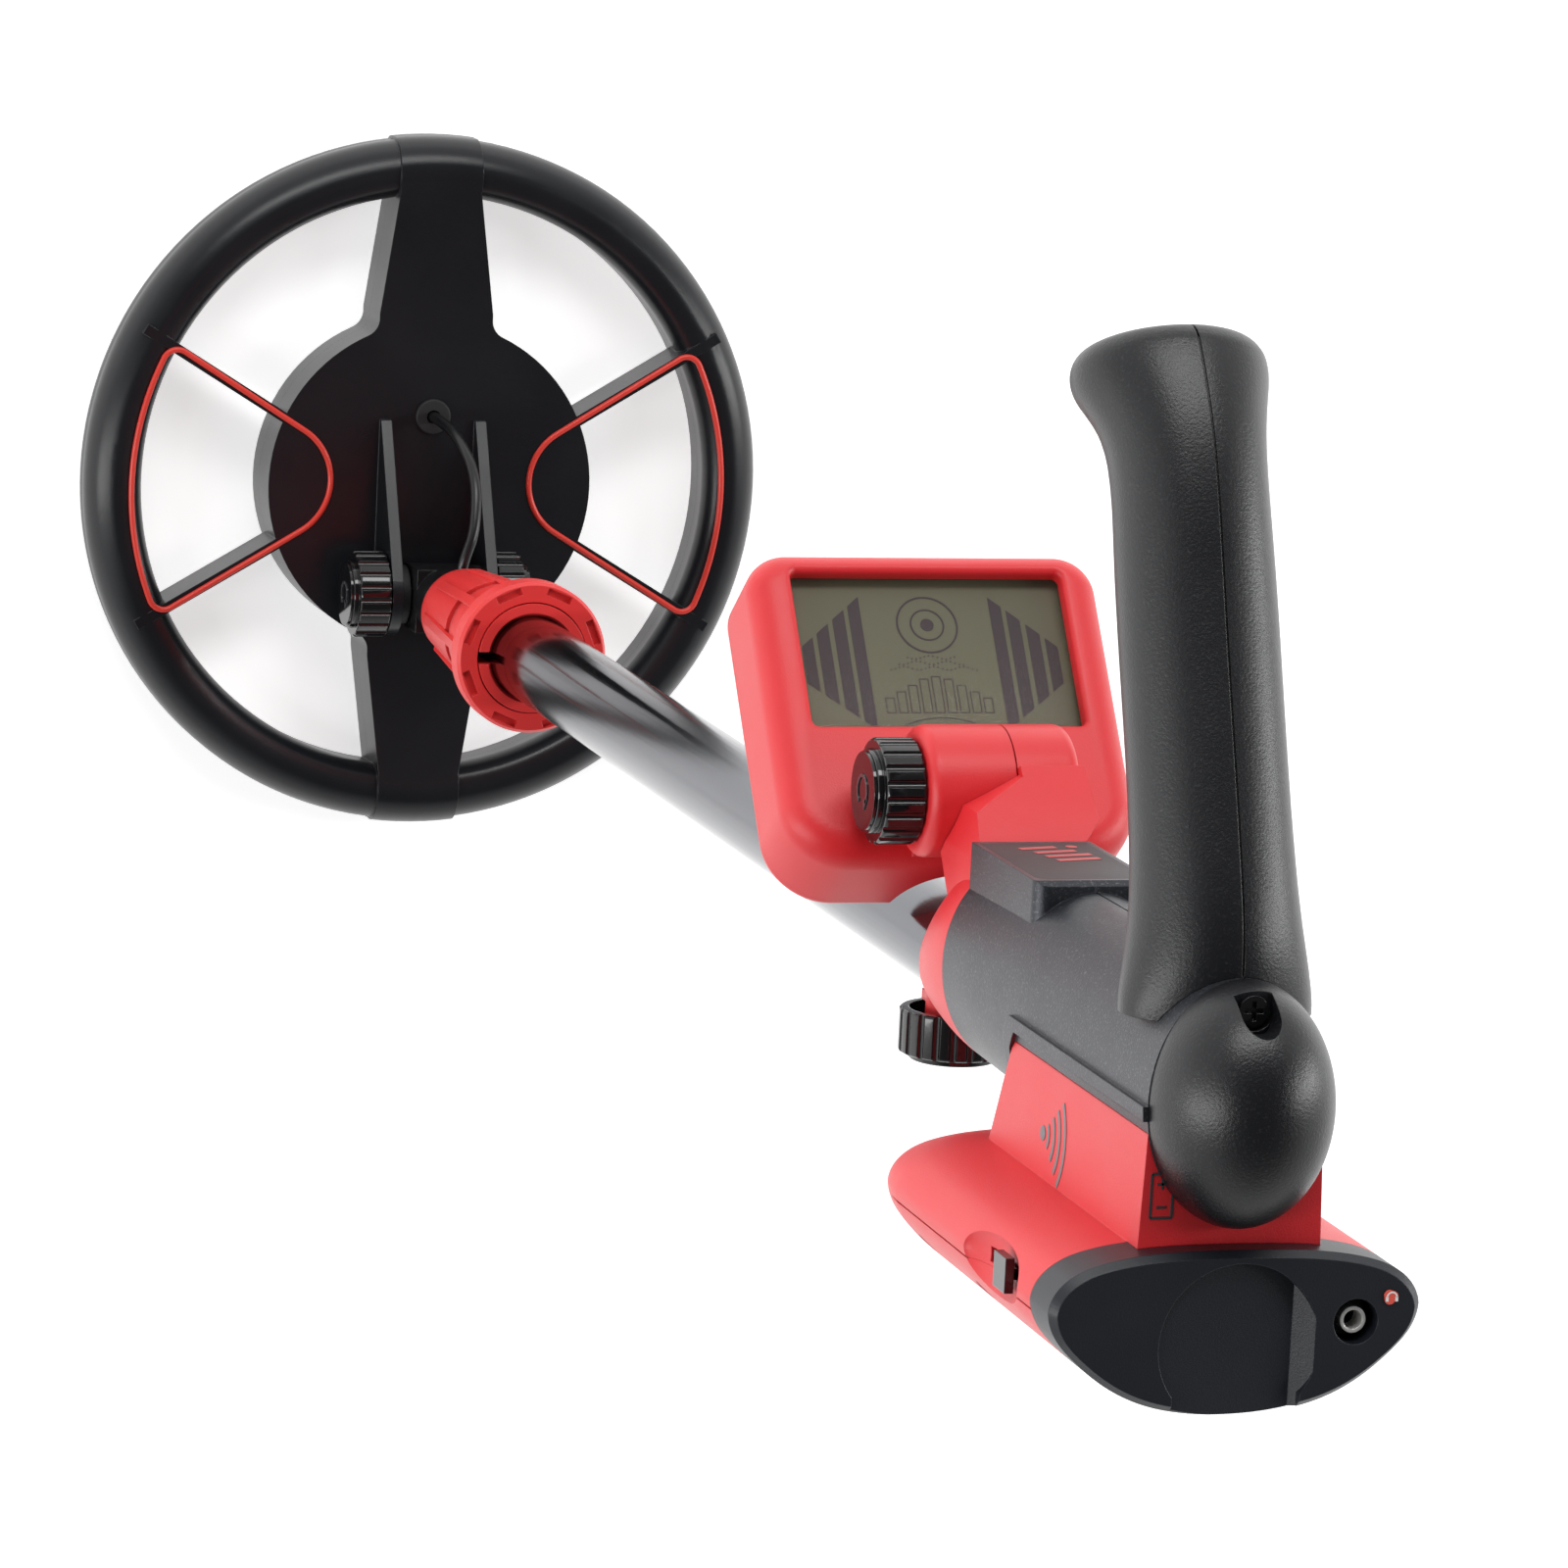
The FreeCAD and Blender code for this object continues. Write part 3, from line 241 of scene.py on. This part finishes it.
def surface(name, color, rough, metal=0.0, mottle=0.06, grain=0.0, grain_scale=900.0, speck=0.0,
            edge=0.0003, stretch=None, coat=0.0, spec=0.5):
    """A moulded or metal finish: slight colour mottling, uneven gloss, fine grain and softened edges."""
    mat = bpy.data.materials.new(name)
    mat.use_nodes = True
    tree = mat.node_tree
    shader = tree.nodes["Principled BSDF"]
    coords = tree.nodes.new("ShaderNodeTexCoord")
    place_node = tree.nodes.new("ShaderNodeMapping")
    link(tree, coords.outputs["Object"], place_node.inputs["Vector"])
    if stretch:
        place_node.inputs["Scale"].default_value = stretch
    vector = place_node.outputs["Vector"]
    wide = noise(tree, vector, MOTTLE_SCALE, 4.0)
    fine = noise(tree, vector, grain_scale, 3.0, 0.6)

    colour = mottled_colour(tree, color, wide, fine, mottle, speck)
    link(tree, colour, shader.inputs["Base Color"])
    gloss = spread(tree, wide, max(0.03, rough - GLOSS_VARY), min(1.0, rough + GLOSS_VARY))
    link(tree, gloss, shader.inputs["Roughness"])
    link(tree, soft_normal(tree, edge, fine, grain), shader.inputs["Normal"])
    shader.inputs["Metallic"].default_value = metal
    shader.inputs["Coat Weight"].default_value = coat
    shader.inputs["Specular IOR Level"].default_value = spec
    return mat


def make_materials():
    return {
        "coil_black": surface("coil_black", (0.0070, 0.0078, 0.0100), 0.30, mottle=0.15, grain=0.10,
                              grain_scale=2200, spec=0.42),
        "trim_red": surface("trim_red", (0.70, 0.045, 0.030), 0.32, grain=0.05),
        "case_red": surface("case_red", (0.66, 0.022, 0.028), 0.40, grain=0.30, grain_scale=2600,
                            mottle=0.04),
        "nut_red": surface("nut_red", (0.74, 0.035, 0.034), 0.36, grain=0.08),
        "knob_black": surface("knob_black", (0.004, 0.004, 0.005), 0.10, grain=0.03, coat=0.3),
        "body_grey": surface("body_grey", (0.036, 0.038, 0.045), 0.36, metal=0.55, grain=0.40,
                             grain_scale=1900, speck=0.10),
        "grip_black": surface("grip_black", (0.0050, 0.0054, 0.0070), 0.34, grain=0.40, grain_scale=1700,
                              speck=0.015),
        "cover_black": surface("cover_black", (0.008, 0.010, 0.015), 0.40, grain=0.20,
                               grain_scale=2400),
        "tube_metal": surface("tube_metal", (0.13, 0.135, 0.15), 0.13, metal=1.0, mottle=0.30,
                              grain=0.22, grain_scale=700, stretch=(1, 1, 0.02)),
        "rod_black": surface("rod_black", (0.006, 0.006, 0.007), 0.30, grain=0.1),
        "steel": surface("steel", (0.55, 0.55, 0.54), 0.28, metal=1.0, grain=0.1),
        "nickel": surface("nickel", (0.80, 0.79, 0.76), 0.28, metal=0.6, grain=0.03),
        "copper": surface("copper", (0.60, 0.25, 0.12), 0.3, metal=1.0, grain=0.2),
        "cable": surface("cable", (0.005, 0.005, 0.006), 0.30, grain=0.1),
        "washer": surface("washer", (0.008, 0.008, 0.009), 0.6, grain=0.2),
        "board": surface("board", (0.02, 0.14, 0.05), 0.35, grain=0.2),
        "lcd": surface("lcd", (0.155, 0.152, 0.098), 0.45, grain=0.10, grain_scale=1400, mottle=0.10,
                       spec=0.2),
        "screen_ink": surface("screen_ink", (0.082, 0.066, 0.070), 0.5, grain=0.05, spec=0.1, edge=0.00001),
        "cell": surface("cell", (0.04, 0.08, 0.25), 0.3, metal=0.3),
        "icon_red": surface("icon_red", (0.72, 0.10, 0.07), 0.4, grain=0.05),
        "inner_black": surface("inner_black", (0.008, 0.008, 0.010), 0.5, grain=0.2),
        # Lighter than the gloss black knobs: on the knobs' turn arrows this is painted highlight, standing
        # in for the shine of the black embossed arrows; on the battery sign it is the print's colour.
        "knob_highlight_and_battery_print": surface("knob_highlight_and_battery_print", (0.05, 0.05, 0.055), 0.15, grain=0.02, edge=0.0001),
        "print_red": surface("print_red", (0.50, 0.08, 0.08), 0.5, grain=0.1, edge=0.00002),
        "print_grey": surface("print_grey", (0.16, 0.16, 0.17), 0.5, grain=0.1, edge=0.00002),
        "print_light": surface("print_light", (0.75, 0.72, 0.70), 0.5, grain=0.1, edge=0.00002),
    }


def glass_material():
    """A thin clear window with slightly uneven gloss."""
    mat = bpy.data.materials.new("lcd_glass")
    mat.use_nodes = True
    tree = mat.node_tree
    shader = tree.nodes["Principled BSDF"]
    coarse = tree.nodes.new("ShaderNodeTexNoise")
    coarse.inputs["Scale"].default_value = 60.0
    link(tree, spread(tree, coarse.outputs["Fac"], 0.04, 0.10), shader.inputs["Roughness"])
    shader.inputs["Base Color"].default_value = (0.02, 0.02, 0.02, 1)
    shader.inputs["Specular IOR Level"].default_value = 0.3
    shader.inputs["Alpha"].default_value = 0.07
    return mat


def dress_nodes(materials):
    """Gives each CAD node the material of its slot in the record, and smooth shading."""
    slots = {entry["node"]: entry["material_slot"] for entry in frame["record"]["subparts"]}
    for name, obj in NODES.items():
        obj.data.materials.clear()
        obj.data.materials.append(materials[slots[name]])
        obj.data.shade_smooth()
        weld = obj.modifiers.new("weld", "WELD")
        weld.merge_threshold = WELD_REACH
        smooth = obj.modifiers.new("normals", "EDGE_SPLIT")
        smooth.split_angle = SPLIT_ANGLE


# ---- flat marks ----------------------------------------------------------------------
# Each mark is a list of outlines in its own plane, in mm. An outline is a list of (u, v) points.
def bar(u0, v0, u1, v1, width):
    """A straight stroke from one point to the other."""
    along = Vector((u1 - u0, v1 - v0)).normalized() * width / 2
    side = Vector((-along.y, along.x))
    return [(u0 + side.x, v0 + side.y), (u0 - side.x, v0 - side.y), (u1 - side.x, v1 - side.y),
            (u1 + side.x, v1 + side.y)]


def arc(u, v, radius, width, start=0.0, end=360.0, steps=48):
    """A curved stroke, or a whole ring, as short pieces."""
    outlines = []
    for i in range(steps):
        a = math.radians(start + (end - start) * i / steps)
        b = math.radians(start + (end - start) * (i + 1) / steps)
        low, high = radius - width / 2, radius + width / 2
        outlines.append([(u + low * math.cos(a), v + low * math.sin(a)),
                         (u + high * math.cos(a), v + high * math.sin(a)),
                         (u + high * math.cos(b), v + high * math.sin(b)),
                         (u + low * math.cos(b), v + low * math.sin(b))])
    return outlines


def dot(u, v, radius, steps=16):
    turns = [2 * math.pi * i / steps for i in range(steps)]
    return [(u + radius * math.cos(t), v + radius * math.sin(t)) for t in turns]


def frame_outline(u0, v0, u1, v1, width):
    return [bar(u0, v0, u1, v0, width), bar(u1, v0, u1, v1, width), bar(u1, v1, u0, v1, width),
            bar(u0, v1, u0, v0, width)]


def place(at_mm, u_axis, v_axis):
    """The matrix from a mark's own plane to the row frame. The third axis points out of the surface."""
    u, v = Vector(u_axis).normalized(), Vector(v_axis).normalized()
    out = u.cross(v)
    turn = Matrix([[u[i], v[i], out[i]] for i in range(3)]).to_4x4()
    return Matrix.Translation(Vector(at_mm) * MM) @ turn @ Matrix.Scale(MM, 4)


def marks(name, outlines, where, depth, body, material):
    """One thin raised mesh from flat outlines, riding on a body."""
    build = bmesh.new()
    for outline in outlines:
        low = [build.verts.new((u, v, 0.0)) for u, v in outline]
        high = [build.verts.new((u, v, depth)) for u, v in outline]
        build.faces.new(high)
        build.faces.new(low[::-1])
        count = len(outline)
        for i in range(count):
            j = (i + 1) % count
            build.faces.new((low[i], low[j], high[j], high[i]))
    bmesh.ops.recalc_face_normals(build, faces=build.faces)
    mesh = bpy.data.meshes.new(name)
    build.to_mesh(mesh)
    build.free()
    mesh.transform(where)
    piece = bpy.data.objects.new(name, mesh)
    bpy.context.scene.collection.objects.link(piece)
    piece.data.materials.append(material)
    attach(piece, body)


# ---- display -------------------------------------------------------------------------
def screen_place():
    """The plane of the printed screen, with v up the window."""
    turn = Matrix.Rotation(WINDOW_TILT, 4, "X")
    lift = Matrix.Translation((0, 0, SCREEN_DEPTH))
    return Matrix.Translation(Vector(WINDOW_AT) * MM) @ turn @ Matrix.Scale(MM, 4) @ lift


def fan_bars(side):
    """Four upright bars that get shorter towards the screen's side."""
    outlines = []
    for middle, half in FAN_BARS:
        near, far = middle - half, middle + half
        top = [FAN_TOP + FAN_TOP_SLOPE * (u - FAN_START) for u in (near, far)]
        low = [FAN_LOW + FAN_LOW_SLOPE * (u - FAN_START) for u in (near, far)]
        outlines.append([(side * near, top[0]), (side * far, top[1]), (side * far, low[1]),
                         (side * near, low[0])])
    return outlines


def dot_rows():
    outlines = []
    for row, (v, reach) in enumerate(DOT_ROWS):
        for i in range(int(reach * 2 / DOT_STEP) + 1):
            wave = 0.4 * math.sin(i * 0.9 + row)
            outlines.append(dot(-reach + DOT_STEP * i, v - wave, DOT_RADIUS, 8))
    return outlines


def meter_bars():
    """A row of open bars with an arc under them."""
    outlines = []
    middle = len(METER_HEIGHTS) // 2
    for i, height in enumerate(METER_HEIGHTS):
        u = (i - middle) * METER_STEP
        outlines += frame_outline(u - METER_HALF, METER_FOOT, u + METER_HALF, METER_FOOT + height, 0.22)
    return outlines + arc(0, -52.0, 19.6, 0.25, 65, 115, 20)


def make_screen(materials):
    target = arc(0, TARGET_V, 6.6, 0.45) + arc(0, TARGET_V, 3.6, 0.4) + [dot(0, TARGET_V, 1.5)]
    pieces = (("screen_fans", fan_bars(-1) + fan_bars(1)), ("screen_target", target),
              ("screen_dots", dot_rows()), ("screen_meter", meter_bars()))
    for name, outlines in pieces:
        marks(name, outlines, screen_place(), SCREEN_THICK, "display", materials["screen_ink"])


# ---- other markings ------------------------------------------------------------------
def turn_arrow():
    """A round arrow, the usual sign for which way to turn."""
    outlines = arc(0, 0, ARROW_RADIUS, 0.7, ARROW_START, ARROW_END, 30)
    tip = math.radians(ARROW_START)
    u, v = ARROW_RADIUS * math.cos(tip), ARROW_RADIUS * math.sin(tip)
    return outlines + [[(u - 1.4, v + 0.5), (u + 1.2, v + 1.0), (u - 0.6, v - 1.6)]]


def mark_knobs(materials):
    for name, at, body in (("knob_arrow_coil", (-25.7, -28.0, 33.0), "pivot_knob_l"),
                           ("knob_arrow_display", (-26.1, 6.4, 511.2), "display_knob_body")):
        where = place(at, (0, 0, 1), (0, 1, 0))
        # The arrows get the lighter colour as painted highlight: the real embossed arrows are black and
        # show only by their shine.
        marks(name, turn_arrow(), where, 0.25, body, materials["knob_highlight_and_battery_print"])


def mark_badge(materials):
    """Plain slanted bars and a dot on the plate on the body's deck."""
    pattern = [bar(*ends, 2.0) for ends in BADGE_BARS] + [dot(6.6, 2.0, 1.2)]
    flipped = [[(u, -v) for u, v in outline] for outline in pattern]
    where = place((0, DECK_TOP, 547), (1, 0, 0), (0, 0, -1))
    marks("badge_pattern", flipped, where, PRINT_THICK, "housing", materials["print_red"])


def mark_pedestal(materials):
    """Signal waves on the pedestal's left side, and a battery sign on its rear."""
    waves = []
    for i in range(4):
        waves += arc(0, 0, 3.5 + 3.2 * i, 1.1, -38, 38, 14)
    waves.append(dot(0, 0, 1.5))
    y = -42.0
    half = PEDESTAL_FOOT_HALF - (y - PEDESTAL_FOOT_Y) * PEDESTAL_LEAN
    where = place((-half, y, 612), (0, 0, 1), (PEDESTAL_LEAN, 1, 0))
    marks("side_pattern", waves, where, PRINT_THICK, "housing", materials["print_grey"])

    cell = frame_outline(-2.1, -4.2, 2.1, 4.2, 0.5)
    cell += [bar(-0.8, 4.7, 0.8, 4.7, 0.6), bar(-1.0, 2.2, 1.0, 2.2, 0.45), bar(0, 1.2, 0, 3.2, 0.45),
             bar(-1.0, -2.2, 1.0, -2.2, 0.45)]
    where = place((-13.9, -40.5, PEDESTAL_REAR), (1, 0, 0), (0, 1, 0))
    marks("battery_sign", cell, where, PRINT_THICK, "housing", materials["knob_highlight_and_battery_print"])


def mark_cover(materials):
    """A headphone sign on the badge beside the socket."""
    phones = arc(0, 0, 0.95, 0.3, 0, 180, 12)
    phones += [bar(x, 0.1, x, -0.8, 0.55) for x in (-0.95, 0.95)]
    where = place((30.4, -59.2, COVER_BADGE_TOP), (1, 0, 0), (0, 1, 0))
    marks("headphone_sign", phones, where, 0.08, "cover", materials["print_light"])


# ---- the coil's lead -----------------------------------------------------------------
def lead_curve(name, bevel):
    """The lead's smooth line, drawn towards its route's control points."""
    data = bpy.data.curves.new(name, "CURVE")
    data.dimensions = "3D"
    data.resolution_u = 12
    data.bevel_depth = bevel
    data.bevel_resolution = 6
    data.use_fill_caps = True
    spline = data.splines.new("NURBS")
    spline.points.add(len(LEAD_ROUTE_MM) - 1)
    for point, (x, y, z) in zip(spline.points, LEAD_ROUTE_MM):
        point.co = (x * MM, y * MM, z * MM, 1.0)
    spline.order_u = 3
    spline.use_endpoint_u = True
    obj = bpy.data.objects.new(name, data)
    bpy.context.scene.collection.objects.link(obj)
    return obj


def read_mesh(obj):
    """The curve's mesh. The curve itself is removed."""
    bpy.context.view_layer.update()
    graph = bpy.context.evaluated_depsgraph_get()
    mesh = bpy.data.meshes.new_from_object(obj.evaluated_get(graph))
    bpy.data.objects.remove(obj)
    return mesh


def make_lead(materials):
    """The cable from the coil's grommet to the lower rod, as a tube round its smooth line."""
    line = read_mesh(lead_curve("lead_line", 0.0))
    tube = read_mesh(lead_curve("lead_tube", LEAD_DIAMETER * MM / 2))
    lead = bpy.data.objects.new("coil_lead_tube", tube)
    bpy.context.scene.collection.objects.link(lead)
    lead.data.materials.append(materials["cable"])
    lead.data.shade_smooth()
    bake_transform(lead)
    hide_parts("coil_lead")


# ---- build ---------------------------------------------------------------------------
def main():
    make_camera()
    make_stage()
    materials = make_materials()
    materials["lcd_glass"] = glass_material()
    dress_nodes(materials)
    make_lead(materials)
    make_screen(materials)
    mark_knobs(materials)
    mark_badge(materials)
    mark_pedestal(materials)
    mark_cover(materials)


main()
